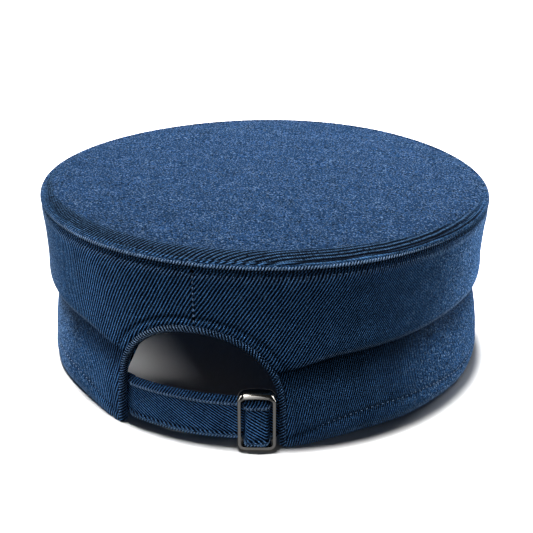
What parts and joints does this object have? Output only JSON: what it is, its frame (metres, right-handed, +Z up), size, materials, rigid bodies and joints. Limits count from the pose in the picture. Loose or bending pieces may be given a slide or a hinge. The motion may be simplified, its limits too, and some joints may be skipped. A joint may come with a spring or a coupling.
{
  "type": "baker boy cap",
  "caption": "Flat-topped baker boy cap in denim with a topstitched rim, a band open in an arch at the back, an adjusting strap with a metal slide buckle, and a short peak.",
  "frame": {"origin": "middle of the underside of the box round the cap as it lies on the table by itself", "axes": "+Z up from the table; -Y to the front, where the peak points; +Y to the back, where the arch, strap and buckle are; +X to the wearer's left"},
  "size_m": [0.1842, 0.2462, 0.0731],
  "materials": {
    "denim_top": "washed blue denim, matte",
    "denim_side": "dark indigo twill, matte",
    "denim_trim": "indigo twill, rolled and stitched",
    "buckle_metal": "dark polished metal"
  },
  "bodies": {
    "root": {"crown_top": "denim_top", "rim_welt": "denim_trim", "crown_side": "denim_side", "band": "denim_side", "arch_binding": "denim_trim", "back_strap": "denim_trim", "buckle": "buckle_metal", "peak": "denim_side"}
  },
  "joints": []
}
